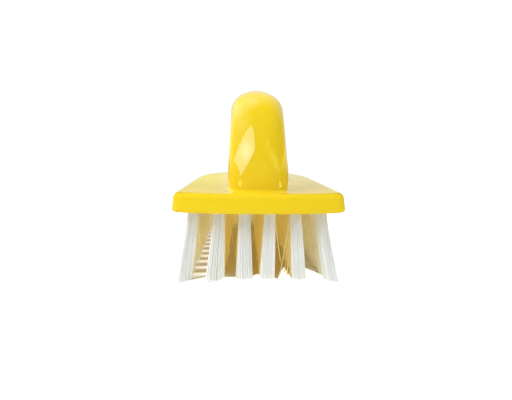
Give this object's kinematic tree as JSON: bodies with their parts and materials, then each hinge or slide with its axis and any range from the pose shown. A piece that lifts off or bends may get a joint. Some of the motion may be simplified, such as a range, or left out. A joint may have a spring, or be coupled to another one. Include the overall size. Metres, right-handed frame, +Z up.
{
  "type": "hand scrub brush",
  "caption": "Hand scrub brush: one-piece moulded block with a closed iron-style loop handle, flat heel and rounded nose, with rows of white filament tufts underneath.",
  "frame": {"origin": "middle of the footprint, on the plane of the bristle tips that the brush stands on", "axes": "+Z up from the tips to the handle, +Y from the flat heel to the rounded nose, +X across the brush"},
  "size_m": [0.0658, 0.1486, 0.0759],
  "materials": {
    "body_plastic": "smooth glossy yellow polypropylene",
    "bristle_nylon": "off-white nylon filament, slightly translucent",
    "anchor_steel": "plain flat wire"
  },
  "bodies": {
    "root": {"anchor_wire_r01_c1": "anchor_steel", "anchor_wire_r01_c2": "anchor_steel", "anchor_wire_r01_c3": "anchor_steel", "anchor_wire_r01_c4": "anchor_steel", "anchor_wire_r01_c5": "anchor_steel", "anchor_wire_r01_c6": "anchor_steel", "moulded_body": "body_plastic", "tuft_r01_c1": "bristle_nylon", "tuft_r01_c2": "bristle_nylon", "tuft_r01_c3": "bristle_nylon", "tuft_r01_c4": "bristle_nylon", "tuft_r01_c5": "bristle_nylon", "tuft_r01_c6": "bristle_nylon", "tuft_r02_left": "bristle_nylon", "tuft_r02_right": "bristle_nylon", "tuft_r03_left": "bristle_nylon", "tuft_r03_right": "bristle_nylon", "tuft_r04_left": "bristle_nylon", "tuft_r04_right": "bristle_nylon", "tuft_r05_left": "bristle_nylon", "tuft_r05_right": "bristle_nylon", "tuft_r06_left": "bristle_nylon", "tuft_r06_right": "bristle_nylon", "tuft_r07_left": "bristle_nylon", "tuft_r07_right": "bristle_nylon", "tuft_r08_left": "bristle_nylon", "tuft_r08_right": "bristle_nylon", "tuft_r09_left": "bristle_nylon", "tuft_r09_right": "bristle_nylon", "tuft_r10_left": "bristle_nylon", "tuft_r10_right": "bristle_nylon", "tuft_r11_left": "bristle_nylon", "tuft_r11_right": "bristle_nylon", "tuft_r12_left": "bristle_nylon", "tuft_r12_right": "bristle_nylon", "tuft_r13_left": "bristle_nylon", "tuft_r13_right": "bristle_nylon", "tuft_r14_c1": "bristle_nylon", "tuft_r14_c2": "bristle_nylon", "tuft_r14_c3": "bristle_nylon", "tufts_r02_inner": "bristle_nylon", "tufts_r03_inner": "bristle_nylon", "tufts_r04_inner": "bristle_nylon", "tufts_r05_inner": "bristle_nylon", "tufts_r06_inner": "bristle_nylon", "tufts_r07_inner": "bristle_nylon", "tufts_r08_inner": "bristle_nylon", "tufts_r09_inner": "bristle_nylon", "tufts_r10_inner": "bristle_nylon", "tufts_r11_inner": "bristle_nylon", "tufts_r12_inner": "bristle_nylon", "tufts_r13_inner": "bristle_nylon"}
  },
  "joints": []
}
